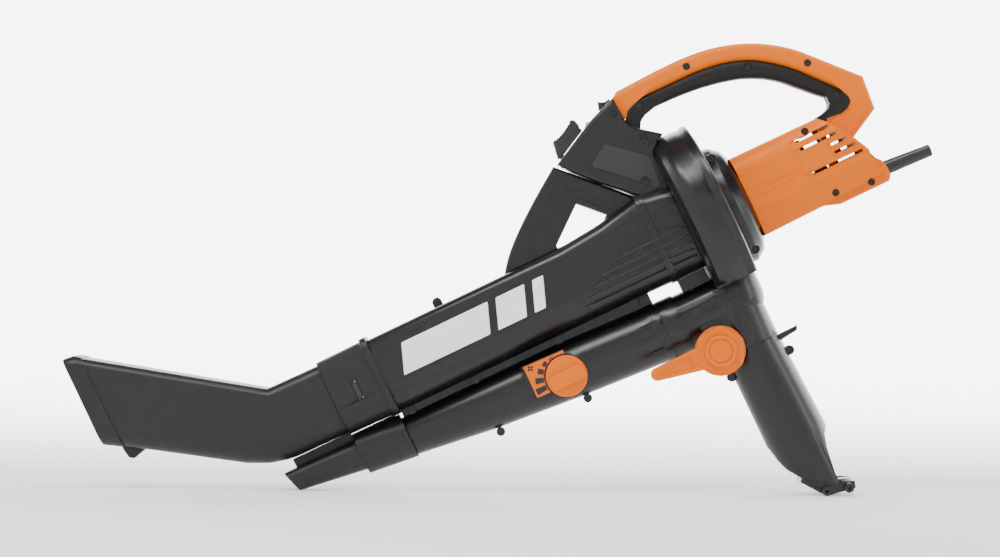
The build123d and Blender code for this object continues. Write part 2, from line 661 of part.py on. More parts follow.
with BuildPart() as speed_dial:
    rod_y(DIAL_X, DIAL_Z, DIAL_R, -45, PAD_Y - 0.4)
    fillet(speed_dial.faces().sort_by(Axis.Y)[0].edges(), 2.5)
    with BuildSketch(Plane.XZ.offset(44)) as dial_bar:
        with Locations((DIAL_X, DIAL_Z - 2)):
            RectangleRounded(47, 19, 6)
    extrude(dial_bar.sketch, amount=9)
    fillet(speed_dial.faces().sort_by(Axis.Y)[0].edges(), 2.0)
    rod_y(DIAL_X, DIAL_Z, 4.0, -50, -30, mode=Mode.SUBTRACT)
keep(speed_dial.part, "speed_dial")

with BuildPart() as dial_spindle:
    rod_y(DIAL_X, DIAL_Z, 4.0, -49.9, 35.5)
keep(dial_spindle.part, "dial_spindle")

with BuildPart() as throttle_plate:
    rod_y(DIAL_X, DIAL_Z, 6, -24, 24)
    with BuildSketch(Plane.XY.offset(DIAL_Z - 1.1)):
        with Locations((DIAL_X, 0)):
            Circle(27.5)
    extrude(amount=2.2)
    rod_y(DIAL_X, DIAL_Z, 4.0, -40, 40, mode=Mode.SUBTRACT)
keep(throttle_plate.part, "throttle_plate")

# ---- loop handle of the tube unit ------------------------------------------------------------
LOOP_ARC = [(-200.1, 138.1), (-230.5, 117.2), (-270.5, 87.0), (-291.0, 69.0), (-314.0, 41.0)]
LOOP_FOOT = [(-314.0, 41.0), (-124.1, 41.0), (-125.1, 61.3), (-200.1, 138.1)]
LOOP_PANEL = [(-292, 44), (-224, 107), (-216, 108.5), (-208, 96), (-268, 45.5)]
LOOP_GROOVES = [
    [(-199.0, 110.8), (-197.4, 112.2), (-140.4, 50.6), (-142.0, 49.2)],
    [(-195.6, 94.0), (-194.0, 95.4), (-149.5, 51.4), (-151.1, 50.0)],
]
PANEL_DEPTH = 1.2
LOOP_HOLE = [(-194.0, 84.0), (-166.0, 55.5), (-180.0, 44.0), (-238.5, 44.0), (-239.0, 47.5)]
LOOP_SCREWS = [(-210.3, 122.5), (-269.9, 52.6), (-153.2, 59.6)]
LOOP_SCREW_Y = 17.0

with BuildPart() as loop_handle:
    with BuildSketch(Plane.XZ) as loop_side:
        with BuildLine():
            Spline(*LOOP_ARC)
            Polyline(*LOOP_FOOT)
        make_face()
    extrude(amount=LOOP_W / 2, both=True)
    fillet(loop_handle.edges().filter_by(Plane.XZ).group_by(Axis.Y)[0], 4)
    fillet(loop_handle.edges().filter_by(Plane.XZ).group_by(Axis.Y)[-1], 4)
    side_prism(LOOP_HOLE, 60, mode=Mode.SUBTRACT)
    box_tube(VAC_TUBE, inset=-FLOOR_CLEAR, mode=Mode.SUBTRACT)
    joint_ring(NECK_FRONT - JOINT_RING_W - FLOOR_CLEAR, VAC_TUBE[-1], clear=FLOOR_CLEAR, mode=Mode.SUBTRACT)
    with BuildSketch(Plane.XZ) as loop_core:
        with BuildLine():
            Polyline((-204, 128), (-250, 95), (-268, 77), (-240, 75), (-205, 106), close=True)
        make_face()
        offset(amount=-2)
    extrude(amount=15, both=True, mode=Mode.SUBTRACT)
    cut_sides(LOOP_PANEL, LOOP_W / 2 - PANEL_DEPTH)
    for groove in LOOP_GROOVES:
        cut_sides(groove, LOOP_W / 2 - PANEL_DEPTH)
    screw_seats(LOOP_SCREWS, LOOP_SCREW_Y)
keep_halves(loop_handle.part, "loop_handle")

# ---- switch housing, latch and rocker ----------------------------------------------------------
SWITCH_SIDE = [
    (-194.6, 138.4), (-184.9, 143.2), (-133.4, 169.9), (-116.8, 176.2), (-97.5, 183.0), (-95.6, 163.2),
    (-95.4, 152.0), (-90.2, 142.2), (-82.0, 133.4), (-60.0, 116.5), (-78.0, 100.0), (-78.0, 50.0),
    (-119.4, 50.0), (-124.0, 61.6), (-135.0, 73.6), (-158.9, 96.4), (-181.7, 121.0),
]
SWITCH_SCREWS = [(-105.4, 165.2), (-84.5, 123.0), (-105.0, 70.7)]
SWITCH_SCREW_Y = 26.0
PANEL_SIDE = [
    (-131.0, 136.5), (-90.0, 101.0), (-86.8, 94.0), (-88.0, 70.0), (-93.0, 56.5), (-159.5, 118.5),
]
ROCKER_X, ROCKER_Z = -108.8, 177.0
ROCKER_W = 18.0
LATCH_X, LATCH_Z = -184.6, 138.2
LATCH_W = 30.0

with BuildPart() as casing_block:
    with BuildSketch(Plane.XZ) as casing_outline:
        with BuildLine():
            Polyline(
                (CASE_FRONT - 0.02, 0), (CASE_FRONT - 0.02, 96), (-78.02, 108.02), (-66, CASE_R - 0.98),
                (-40, CASE_R - 1.98), (-40, 0), close=True,
            )
        make_face()
    revolve(casing_outline.sketch, axis=Axis.X)

with BuildPart() as switch_housing:
    side_prism(SWITCH_SIDE, SWITCH_W / 2)
    fillet(switch_housing.edges().filter_by(Plane.XZ).group_by(Axis.Y)[0], 5)
    fillet(switch_housing.edges().filter_by(Plane.XZ).group_by(Axis.Y)[-1], 5)
    with BuildSketch(Plane.XZ) as switch_core:
        with BuildLine():
            Polyline(
                (-172, 121), (-135, 160), (-112, 165), (-112, 150), (-96, 132), (-92, 100), (-92, 72), (-118, 68),
                close=True,
            )
        make_face()
    extrude(amount=SWITCH_W / 2 - 3, both=True, mode=Mode.SUBTRACT)
    box_tube(NECK, inset=-FLOOR_CLEAR, mode=Mode.SUBTRACT)
    joint_ring(NECK_FRONT, NECK[0], clear=FLOOR_CLEAR, mode=Mode.SUBTRACT)
    add(casing_block.part, mode=Mode.SUBTRACT)
    with BuildSketch(Plane.XZ) as panel_seat:
        with BuildLine():
            Polyline(*PANEL_SIDE, close=True)
        make_face()
    for side in (-1, 1):
        extrude(panel_seat.sketch.moved(Location((0, side * SWITCH_W / 2, 0))), amount=0.8, both=True,
                mode=Mode.SUBTRACT)
    # pocket of the rocker and slot of the latch pin
    with Locations((ROCKER_X - 0.8, 0, ROCKER_Z + 4)):
        Box(22, ROCKER_W + 1.6, 26, mode=Mode.SUBTRACT)
    with Locations((LATCH_X, 0, LATCH_Z + 3)):
        Box(14, LATCH_W + 1.2, 20, mode=Mode.SUBTRACT)
    screw_seats(SWITCH_SCREWS, SWITCH_SCREW_Y)
    rod_y(LATCH_X, LATCH_Z, 2.0, -24, 24, mode=Mode.SUBTRACT)
    rod_y(ROCKER_X, ROCKER_Z, 2.0, -16, 16, mode=Mode.SUBTRACT)
keep_halves(switch_housing.part, "switch_housing")

with BuildPart() as side_panels:
    with BuildSketch(Plane.XZ) as panel_plan:
        with BuildLine():
            Polyline(*PANEL_SIDE, close=True)
        make_face()
        offset(amount=-0.4, kind=Kind.INTERSECTION)
        with Locations(SWITCH_SCREWS[2], (-88.5, 111.0)):
            Circle(7.5, mode=Mode.SUBTRACT)
    for side in (-1, 1):
        extrude(panel_plan.sketch.moved(Location((0, side * (SWITCH_W / 2 + 0.5), 0))), amount=1.2, both=True)
keep(side_panels.part, "side_panels")

with BuildPart() as power_rocker:
    with BuildSketch(Plane.XZ) as rocker_side:
        with BuildLine():
            Polyline(
                (ROCKER_X - 6, ROCKER_Z + 11), (ROCKER_X - 9, ROCKER_Z + 1), (ROCKER_X - 7, ROCKER_Z - 4),
                (ROCKER_X + 6, ROCKER_Z - 4), (ROCKER_X + 8, ROCKER_Z + 2), (ROCKER_X + 8.6, ROCKER_Z + 8.5),
            )
            ThreePointArc(
                (ROCKER_X + 8.6, ROCKER_Z + 8.5), (ROCKER_X + 2, ROCKER_Z + 6.8), (ROCKER_X - 6, ROCKER_Z + 11),
            )
        make_face()
    extrude(amount=ROCKER_W / 2, both=True)
    rod_y(ROCKER_X, ROCKER_Z, 2.0 + FIT, -20, 20, mode=Mode.SUBTRACT)
keep(power_rocker.part, "power_rocker")

LATCH_TOP = [(-187.2, 165.2), (-175.9, 168.4), (-153.4, 180.8)]

with BuildPart() as tube_latch:
    side_prism(LATCH_TOP + [(-149.6, 168.3), (-148.0, 163.4), (-182.0, 145.8), (-190.6, 143.6)], LATCH_W / 2)
    rod_y(LATCH_X, LATCH_Z, 5.0, -LATCH_W / 2, LATCH_W / 2)
    with Locations((LATCH_X, 0, LATCH_Z + 4)):
        Box(6, LATCH_W, 8)
    for step in range(7):
        along = step / 6
        x = LATCH_TOP[0][0] + 2.5 + along * (LATCH_TOP[2][0] - LATCH_TOP[0][0] - 5)
        z = LATCH_TOP[0][1] + 0.8 + along * (LATCH_TOP[2][1] - LATCH_TOP[0][1] - 1.8) - 3.2 * sin(radians(180 * along))
        rod_y(x, z, 1.5, -LATCH_W / 2 + 1, LATCH_W / 2 - 1)
    rod_y(LATCH_X, LATCH_Z, 2.0 + FIT, -20, 20, mode=Mode.SUBTRACT)
    with Locations((-168, 0, 154)):
        Box(12, 10, 9, mode=Mode.SUBTRACT)
keep(tube_latch.part, "tube_latch")

with BuildPart() as pivot_pins:
    rod_y(LATCH_X, LATCH_Z, 2.0, -24, 24)
    rod_y(ROCKER_X, ROCKER_Z, 2.0, -16, 16)
keep(pivot_pins.part, "pivot_pins")

# ---- rear handle and grip --------------------------------------------------------------------
HANDLE_SCREWS = [(3.3, 179.4), (141.3, 118.3)]
GRIP_SCREWS = [(-71.2, 160.0), (71.3, 145.6), (156.0, 67.0)]
HANDLE_SCREW_Y = 14.0
HANDLE_LONG_EDGE = 40.0
HANDLE_EDGE_R = 8.0
GRIP_EDGE_R = 7.0
HANDLE_HOLLOW = [
    (-86.5, 172.5), (-84.0, 184.5), (-20.0, 187.4), (26.0, 185.2), (81.0, 170.2), (137.5, 132.5),
    (193.0, 72.5), (189.5, 33.5), (153.5, 13.5), (137.0, 39.5), (153.0, 39.6), (164.5, 42.6),
    (172.8, 50.0), (173.4, 61.0), (168.0, 72.0), (131.5, 115.0), (102.0, 142.0), (75.0, 158.0),
    (44.0, 167.4), (-10.0, 172.0), (-66.0, 172.0),
]

with BuildPart() as handle_shell:
    with BuildSketch(Plane.XZ) as handle_side:
        with BuildLine():
            Polyline((-95.2, 152.4), (-95.4, 163.2), (-97.3, 183.2), (-88.5, 189.0))
            Spline(
                (-88.5, 189.0), (-55.0, 190.4), (-20.0, 191.3), (27.8, 188.9), (82.9, 173.7), (115.0, 156.0),
                (140.6, 135.1),
            )
            Polyline(
                (140.6, 135.1), (197.1, 73.6), (193.4, 31.0), (151.0, 8.2), (130.6, 40.0), (133.2, 46.0),
                (152.4, 43.6), (161.8, 46.1), (169.0, 52.3), (169.4, 59.1), (164.8, 69.6), (129.3, 111.4),
            )
            Spline((129.3, 111.4), (100.3, 137.7), (73.5, 154.0), (43.4, 163.5), (17.3, 167.2), (-9.8, 168.1))
            Polyline((-9.8, 168.1), (-65.2, 168.2), (-78.0, 164.6), (-86.9, 160.5), (-91.2, 154.3), (-95.2, 152.4))
        make_face()
    extrude(amount=HANDLE_W / 2, both=True)
    for side in (0, -1):
        flat = handle_shell.edges().filter_by(Plane.XZ).group_by(Axis.Y)[side]
        fillet(flat.filter_by(lambda edge: edge.length > HANDLE_LONG_EDGE), HANDLE_EDGE_R)
    side_prism(HANDLE_HOLLOW, HANDLE_W / 2 - 4.5, mode=Mode.SUBTRACT)
    for x, z in HANDLE_SCREWS:
        rod_y(x, z, 5.5, -HANDLE_W / 2 + 1, HANDLE_W / 2 - 1)
    screw_seats(HANDLE_SCREWS, HANDLE_SCREW_Y)
keep_halves(handle_shell.part, "handle_shell")

with BuildPart() as handle_grip:
    with BuildSketch(Plane.XZ) as grip_side:
        with BuildLine():
            Polyline((-94.6, 152.0), (-89.8, 142.6), (-82.0, 133.8), (-77.0, 142.0), (-68.2, 147.5), (-52.6, 151.1))
            Spline((-52.6, 151.1), (-18.4, 150.1), (33.7, 143.2), (64.0, 134.3), (86.3, 122.9), (111.0, 102.1))
            Polyline(
                (111.0, 102.1), (134.4, 78.5), (144.1, 69.8), (144.2, 61.4), (140.4, 56.3), (132.1, 53.3),
                (122.4, 52.4), (130.4, 40.4), (133.1, 46.1), (152.4, 43.7), (161.7, 46.2), (168.9, 52.3),
                (169.3, 59.1), (164.7, 69.6), (129.2, 111.3),
            )
            Spline((129.2, 111.3), (100.2, 137.6), (73.5, 153.9), (43.4, 163.4), (17.3, 167.1), (-9.8, 168.0))
            Polyline((-9.8, 168.0), (-65.2, 168.1), (-78.0, 164.5), (-86.9, 160.4), (-91.1, 154.2), (-94.6, 152.0))
        make_face()
    extrude(amount=GRIP_W / 2, both=True)
    for side in (0, -1):
        flat = handle_grip.edges().filter_by(Plane.XZ).group_by(Axis.Y)[side]
        fillet(flat.filter_by(lambda edge: edge.length > HANDLE_LONG_EDGE), GRIP_EDGE_R)
    screw_seats(GRIP_SCREWS, HANDLE_SCREW_Y)
keep_halves(handle_grip.part, "handle_grip")

# ---- nozzle unit -------------------------------------------------------------------------------
NOZZLE = [
    (COLLAR_FRONT, 86.0, -51.2, 40.8, 32, 14),
    (-640.0, 86.0, -50.6, 42.0, 32, 14),
    (-655.0, 86.5, -49.0, 52.6, 31, 14),
    (-676.0, 87.0, -43.8, 67.2, 30, 14),
    (-702.0, 88.0, -31.4, 85.3, 28, 14),
    (-838.0, 92.0, 59.2, 180.4, 20, 13),
    (MOUTH_X, MOUTH_W, 68.0, MOUTH_HIGH, 16, 12),
]
COLLAR = [(COLLAR_FRONT, 91.0, -54.0, 44.6, 34, 16), (TUBE_FRONT - 0.02, 92.5, -55.0, 45.2, 34, 16)]
NOZZLE_SKID = [(-836, 66), (-835.2, 50), (-833.2, 38.7), (-828.1, 34.9), (-807.6, 40.3), (-800, 50)]
PASSAGE = [(COLLAR_FRONT - 1, 80.5, -48.4, 38.0, 29, 12), (TUBE_FRONT, 84.0, -51.5, 39.8, 31, 12)]

with BuildPart() as vac_nozzle:
    box_tube(NOZZLE)
    box_tube(NOZZLE, inset=WALL, mode=Mode.SUBTRACT)
keep_halves(vac_nozzle.part, "vac_nozzle")

with BuildPart() as nozzle_lip:
    with BuildSketch(Plane.XZ) as lip_band:
        with Locations(((MOUTH_X - 829.5) / 2, 120)):
            Rectangle(-829.5 - MOUTH_X, 170)
    box_tube(NOZZLE[4:], inset=-1.8)
    extrude(lip_band.sketch, amount=60, both=True, mode=Mode.INTERSECT)
    side_prism(NOZZLE_SKID, 12)
    box_tube(NOZZLE[4:], inset=-0.02, mode=Mode.SUBTRACT)
keep(nozzle_lip.part, "nozzle_lip")

WINDOW_X, WINDOW_Z = -538.5, -7.8

with BuildPart() as nozzle_collar:
    box_tube(COLLAR)
    tube_rib = tube_section(-511.5, 97.0, -57.4, 48.2, 35, 17)
    extrude(tube_rib, amount=8.5)
    box_tube(PASSAGE, mode=Mode.SUBTRACT)
    tube_end = tube_section(TUBE_FRONT - 0.02, TUBE_W + 0.1, TUBE_LOW - 0.05, TUBE_HIGH + 0.05, 34, 15)
    extrude(tube_end, amount=10, mode=Mode.SUBTRACT)
    with BuildSketch(Plane.XZ) as window:
        with Locations((WINDOW_X, WINDOW_Z)):
            RectangleRounded(7.0, 24.0, 2.0)
    extrude(window.sketch, amount=60, both=True, mode=Mode.SUBTRACT)
keep(nozzle_collar.part, "nozzle_collar")

with BuildPart() as snap_tabs:
    with BuildSketch(Plane.XZ) as tab:
        with Locations((WINDOW_X, WINDOW_Z)):
            RectangleRounded(6.0, 23.0, 1.6)
    for side in (-1, 1):
        extrude(tab.sketch.moved(Location((0, side * 43.2, 0))), amount=1.7, both=True)
keep(snap_tabs.part, "snap_tabs")

TIP = [
    (-568.0, 55.0, -103.0, -63.0, 18, 15),
    (-672.0, 62.0, -88.0, -62.4, 11, 9),
]
TIP_COLLAR = [(-570.0, 60.0, -108.4, -57.5, 22, 16), (TUBE_FRONT - 0.02, 58.0, -115.6, -58.0, 27, 27)]
TIP_PASSAGE = [(-571.0, 50.0, -100.5, -65.5, 16, 13), (TUBE_FRONT + 2, 45.0, -110.8, -66.0, 21, 21)]

with BuildPart() as blower_tip:
    box_tube(TIP)
    side_prism([(-669.8, -50), (-657.3, -90), (-560, -120), (-560, -50)], 60, mode=Mode.INTERSECT)
    box_tube(TIP_COLLAR)
    side_prism(
        [(-650.7, -51.4), (-650.7, -66), (-511.6, -66), (-511.6, -57.6), (-511.6, -55.2), (-571.1, -55.2),
         (-571.1, -51.4)], 1.6,
    )
    box_tube(TIP, inset=WALL, mode=Mode.SUBTRACT)
    box_tube(TIP_PASSAGE, mode=Mode.SUBTRACT)
keep(blower_tip.part, "blower_tip")

# ---- motor and impeller ----------------------------------------------------------------------
BEARING_R = 11.0
STATOR_X0, STATOR_X1 = 32.0, 82.0

with BuildPart() as front_bearing:
    rod_x(0, 0, BEARING_R, -17.8, -8.4)
    rod_x(0, 0, SHAFT_R + FIT, -20, -5, mode=Mode.SUBTRACT)
keep(front_bearing.part, "front_bearing")

with BuildPart() as rear_bearing:
    rod_x(0, 0, BEARING_R, 116.2, 124)
    rod_x(0, 0, SHAFT_R + FIT, 110, 130, mode=Mode.SUBTRACT)
keep(rear_bearing.part, "rear_bearing")

with BuildPart() as stator_core:
    rod_x(0, 0, 42.0, STATOR_X0, STATOR_X1)
    rod_x(0, 0, 24.0, STATOR_X0 - 1, STATOR_X1 + 1, mode=Mode.SUBTRACT)
    with Locations((57, 33.5, 0), (57, -33.5, 0)):
        Box(60, 7, 26, mode=Mode.SUBTRACT)
keep(stator_core.part, "stator_core")

with BuildPart() as field_coils:
    for x0 in (STATOR_X0 - 9, STATOR_X1 + 0.02):
        rod_x(0, 0, 37, x0, x0 + 8.9)
        rod_x(0, 0, 26, x0, x0 + 8.9, mode=Mode.SUBTRACT)
        with Locations((x0 + 4.5, 0, 0)):
            Box(10, 90, 16, mode=Mode.SUBTRACT)
keep(field_coils.part, "field_coils")

with BuildPart() as brush_holders:
    for side in (-1, 1):
        with Locations((101, side * 24, 0)):
            Box(12, 18, 12)
            Box(9, 19, 9, mode=Mode.SUBTRACT)
keep(brush_holders.part, "brush_holders")

with BuildPart() as carbon_brushes:
    for side in (-1, 1):
        with Locations((101, side * 21.4, 0)):
            Box(8.8, 18, 8.8)
keep(carbon_brushes.part, "carbon_brushes")

with BuildPart() as switch_module:
    with Locations((-122, 0, 143)):
        Box(16, 26, 28)
    with Locations((-120, 0, 158.5)):
        Box(8, 8, 4)
keep(switch_module.part, "switch_module")

with BuildPart() as cord_clamp:
    with Locations((151, 0, CORD_Z + 4)):
        Box(7, 26, 10)
    rod_x(0, CORD_Z + 4, 4.0, 140, 160, mode=Mode.SUBTRACT)
keep(cord_clamp.part, "cord_clamp")

with BuildPart() as motor_shaft:
    rod_x(0, 0, SHAFT_R, SHAFT_FRONT, SHAFT_REAR)
keep(motor_shaft.part, "motor_shaft")

with BuildPart() as armature_core:
    rod_x(0, 0, 23.2, STATOR_X0 + 2, STATOR_X1 - 2)
    with BuildSketch(Plane.YZ.offset(STATOR_X0)):
        with PolarLocations(21, 12):
            Rectangle(9, 2.4)
    extrude(amount=STATOR_X1 - STATOR_X0, mode=Mode.SUBTRACT)
    rod_x(0, 0, SHAFT_R, 20, 100, mode=Mode.SUBTRACT)
keep(armature_core.part, "armature_core")

with BuildPart() as commutator:
    rod_x(0, 0, 12.0, 92, 109)
    rod_x(0, 0, SHAFT_R, 90, 110, mode=Mode.SUBTRACT)
keep(commutator.part, "commutator")

with BuildPart() as cooling_fan:
    rod_x(0, 0, 41, 4, 6.2)
    rod_x(0, 0, 11, 4, 16)
    with BuildSketch(Plane.YZ.offset(6)):
        with PolarLocations(26, 10):
            Rectangle(29, 2.0)
    extrude(amount=10)
    rod_x(0, 0, SHAFT_R, 0, 20, mode=Mode.SUBTRACT)
keep(cooling_fan.part, "cooling_fan")

BLADES = 8

with BuildPart() as impeller:
    rod_x(0, 0, IMPELLER_R, IMPELLER_BACK - 2.6, IMPELLER_BACK)
    rod_x(0, 0, 17, IMPELLER_FRONT, IMPELLER_BACK)
    with BuildSketch(Plane.YZ.offset(IMPELLER_FRONT + 1)) as blades:
        with PolarLocations(0, BLADES):
            with BuildLine() as blade:
                inner = ThreePointArc((14, 0), (52, 13), (IMPELLER_R - 1, 6))
                offset(inner, amount=1.2)
            make_face()
    extrude(amount=IMPELLER_BACK - IMPELLER_FRONT - 2)
    rod_x(0, 0, SHAFT_R, -90, -30, mode=Mode.SUBTRACT)
keep(impeller.part, "impeller")

with BuildPart() as impeller_nut:
    with BuildSketch(Plane.YZ.offset(-77.0)):
        RegularPolygon(9, 6)
    extrude(amount=4.9)
    rod_x(0, 0, SHAFT_R, -90, -70, mode=Mode.SUBTRACT)
keep(impeller_nut.part, "impeller_nut")

# ---- screws -----------------------------------------------------------------------------------
screw_group(
    [(x, z, depth) for (x, z), depth in zip(MOTOR_SCREWS, MOTOR_SCREW_Y)]
    + [(x, z, 40.0) for x, z in FLANGE_SCREWS], "motor_screws",
)
screw_group(
    [(x, z, HANDLE_SCREW_Y) for x, z in HANDLE_SCREWS + GRIP_SCREWS]
    + [(x, z, SWITCH_SCREW_Y) for x, z in SWITCH_SCREWS], "handle_screws",
)
screw_group(
    [(x, z, 5.5) for x, z in TUBE_BOSSES + BLOW_BOSSES] + [(x, z, 7.0) for x, z in TOP_BOSSES]
    + [(x, z, LOOP_SCREW_Y) for x, z in LOOP_SCREWS]
    + [(x, z, 6.0) for x, z in DUCT_BOSSES[1:] + DISCHARGE_BOSSES]
    + [(x, z, BRACKET_HALF - 2) for x, z in DUCT_BOSSES[:1]], "tube_screws",
)

# ---- standing pose and export ----------------------------------------------------------------
TURN = Location((0, 0, 0), (0, -STAND_TILT, 0))
lying = Compound(children=[TURN * piece for piece in PIECES.values()])
box = lying.bounding_box()
SHIFT = (-(box.min.X + box.max.X) / 2, -(box.min.Y + box.max.Y) / 2, -box.min.Z)
STAND = Location(SHIFT) * TURN


def stand_point(x, y, z):
    """A machine-frame point, in the standing frame."""
    return tuple((STAND * Location((x, y, z))).position)


os.makedirs("parts", exist_ok=True)
for name, piece in PIECES.items():
    placed = STAND * piece
    placed.label = name
    export_step(placed, f"parts/{name}.step")
print(f"{len(PIECES)} pieces, size {box.size.X:.1f} x {box.size.Y:.1f} x {box.size.Z:.1f} mm")
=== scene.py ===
"""Looks of the leaf blower: materials, soft edges, small moulded details, light and camera."""

import json
from math import cos, pi, radians, sin, sqrt

import bmesh
import bpy
from mathutils import Matrix, Vector


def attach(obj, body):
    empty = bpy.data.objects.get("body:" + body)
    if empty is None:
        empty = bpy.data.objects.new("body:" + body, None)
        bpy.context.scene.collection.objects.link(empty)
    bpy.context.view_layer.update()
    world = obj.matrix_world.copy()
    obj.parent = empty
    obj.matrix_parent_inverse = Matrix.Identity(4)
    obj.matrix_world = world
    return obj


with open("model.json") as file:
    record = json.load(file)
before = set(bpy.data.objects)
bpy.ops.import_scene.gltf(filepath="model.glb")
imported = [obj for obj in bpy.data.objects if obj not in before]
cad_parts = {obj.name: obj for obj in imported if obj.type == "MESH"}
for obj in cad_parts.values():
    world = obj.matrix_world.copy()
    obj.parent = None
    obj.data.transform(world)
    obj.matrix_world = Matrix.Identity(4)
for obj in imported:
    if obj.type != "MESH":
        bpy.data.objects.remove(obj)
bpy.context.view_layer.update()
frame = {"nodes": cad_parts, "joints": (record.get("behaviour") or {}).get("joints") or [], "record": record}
NODES = frame["nodes"]
JOINTS = {joint["name"]: joint for joint in frame["joints"]}

# ---- the machine's own axes, taken from the rotor's joint ---------------------------------
AXIS = Vector(JOINTS["rotor_spin"]["axis"]).normalized()       # along the fan, to the motor
ORIGIN = Vector(JOINTS["rotor_spin"]["pos_m"])                 # where that axis meets the flange
UP = Vector((-AXIS.z, 0, AXIS.x))                              # the machine's own up
MM = 0.001

# ---- sizes and settings that shape the looks --------------------------------------------------
WELD_REACH = 0.02 * MM       # points closer than this are one point
SOFT_EDGE = 1.2 * MM         # rounding of moulded edges
FINE_EDGE = 0.3 * MM         # rounding of small or grooved parts
EDGE_ANGLE = 32              # edges sharper than this, in degrees, are rounded
CLOUD_SCALE = 14             # waves of colour per metre, roughly
SCUFF_SCALE = 60             # waves of gloss per metre
GRAIN_DEPTH = 0.2 * MM       # depth that a bump strength of 1 stands for


def at(x, y, z):
    """A point of the machine frame, in millimetres, as a point of the row frame."""
    return ORIGIN + AXIS * (x * MM) + Vector((0, y * MM, 0)) + UP * (z * MM)


# ---- materials --------------------------------------------------------------------------------
def plastic(name, colour, roughness, grain=2600, bump=0.12, specular=0.5, variation=0.12,
            metallic=0.0):
    """Moulded plastic: a fine grain in the surface, faint cloudy colour and uneven gloss."""
    mat = bpy.data.materials.new(name)
    mat.use_nodes = True
    tree = mat.node_tree
    tree.nodes.clear()
    out = tree.nodes.new("ShaderNodeOutputMaterial")
    shader = tree.nodes.new("ShaderNodeBsdfPrincipled")
    shader.inputs["Metallic"].default_value = metallic
    shader.inputs["Specular IOR Level"].default_value = specular
    tree.links.new(shader.outputs["BSDF"], out.inputs["Surface"])
    where = tree.nodes.new("ShaderNodeTexCoord")

    def noise(scale, detail):
        node = tree.nodes.new("ShaderNodeTexNoise")
        node.inputs["Scale"].default_value = scale
        node.inputs["Detail"].default_value = detail
        tree.links.new(where.outputs["Object"], node.inputs["Vector"])
        return node

    cloud = noise(CLOUD_SCALE, 3)
    tint = tree.nodes.new("ShaderNodeMix")
    tint.data_type = "RGBA"
    tint.inputs["A"].default_value = (*[c * (1 - variation) for c in colour], 1)
    tint.inputs["B"].default_value = (*[min(1, c * (1 + variation)) for c in colour], 1)
    tree.links.new(cloud.outputs["Fac"], tint.inputs["Factor"])
    tree.links.new(tint.outputs["Result"], shader.inputs["Base Color"])
    scuff = noise(SCUFF_SCALE, 5)
    gloss = tree.nodes.new("ShaderNodeMapRange")
    gloss.inputs["To Min"].default_value = roughness * 0.88
    gloss.inputs["To Max"].default_value = min(1, roughness * 1.14)
    tree.links.new(scuff.outputs["Fac"], gloss.inputs["Value"])
    tree.links.new(gloss.outputs["Result"], shader.inputs["Roughness"])
    fine = noise(grain, 2)
    relief = tree.nodes.new("ShaderNodeBump")
    relief.inputs["Strength"].default_value = bump
    relief.inputs["Distance"].default_value = GRAIN_DEPTH
    tree.links.new(fine.outputs["Fac"], relief.inputs["Height"])
    tree.links.new(relief.outputs["Normal"], shader.inputs["Normal"])
    return mat


MATERIALS = {
    "orange_shell": plastic("orange_shell", (0.74, 0.145, 0.0), 0.38,
                            bump=0.05, specular=0.12, variation=0.03),
    "orange_control": plastic("orange_control", (0.76, 0.15, 0.0), 0.34,
                              bump=0.04, specular=0.15, variation=0.03),
    "grip_rubber": plastic("grip_rubber", (0.008, 0.008, 0.0085), 0.6, grain=1500, bump=0.3,
                           specular=0.25),
    "boot_rubber": plastic("boot_rubber", (0.008, 0.008, 0.009), 0.36, bump=0.1),
    "black_shell": plastic("black_shell", (0.005, 0.0052, 0.0057), 0.3, bump=0.08, specular=0.42),
    "black_nozzle": plastic("black_nozzle", (0.0085, 0.0087, 0.0095), 0.42, bump=0.14,
                            specular=0.38),
    "black_control": plastic("black_control", (0.013, 0.0133, 0.0142), 0.42, bump=0.12),
    "label_film": plastic("label_film", (0.74, 0.145, 0.0), 0.35,
                          bump=0.02, specular=0.12, variation=0.02),
    "black_screw": plastic("black_screw", (0.03, 0.03, 0.031), 0.3, metallic=0.7),
    "steel": plastic("steel", (0.52, 0.53, 0.55), 0.28, metallic=1.0, bump=0.05),
    "lamination": plastic("lamination", (0.16, 0.16, 0.17), 0.4, metallic=0.8),
    "copper": plastic("copper", (0.55, 0.20, 0.07), 0.3, metallic=1.0),
    "carbon": plastic("carbon", (0.02, 0.02, 0.02), 0.6),
    "inner_plastic": plastic("inner_plastic", (0.02, 0.02, 0.022), 0.5),
    "pale_mark": plastic("pale_mark", (0.92, 0.92, 0.91), 0.42, bump=0.03, variation=0.01),
    "dark_ink": plastic("dark_ink", (0.01, 0.01, 0.01), 0.4, bump=0.02),
    "grey_plastic": plastic("grey_plastic", (0.42, 0.42, 0.41), 0.4, bump=0.08),
}
SLOTS = {entry["node"]: entry["material_slot"] for entry in frame["record"]["subparts"]}
SHARP = ("motor_screws", "handle_screws", "tube_screws", "dial_label", "side_panels", "impeller",
         "cooling_fan")
GROOVED = ("vac_tube_left", "vac_tube_right", "inlet_neck", "loop_handle")

for name, node in NODES.items():
    node.data.materials.clear()
    node.data.materials.append(MATERIALS[SLOTS[name]])
    weld = node.modifiers.new("weld", "WELD")
    weld.merge_threshold = WELD_REACH
    soft = node.modifiers.new("soft_edges", "BEVEL")
    soft.width = FINE_EDGE if name in SHARP + GROOVED else SOFT_EDGE
    soft.segments = 3
    soft.limit_method = "ANGLE"
    soft.angle_limit = radians(EDGE_ANGLE)
    soft.harden_normals = True


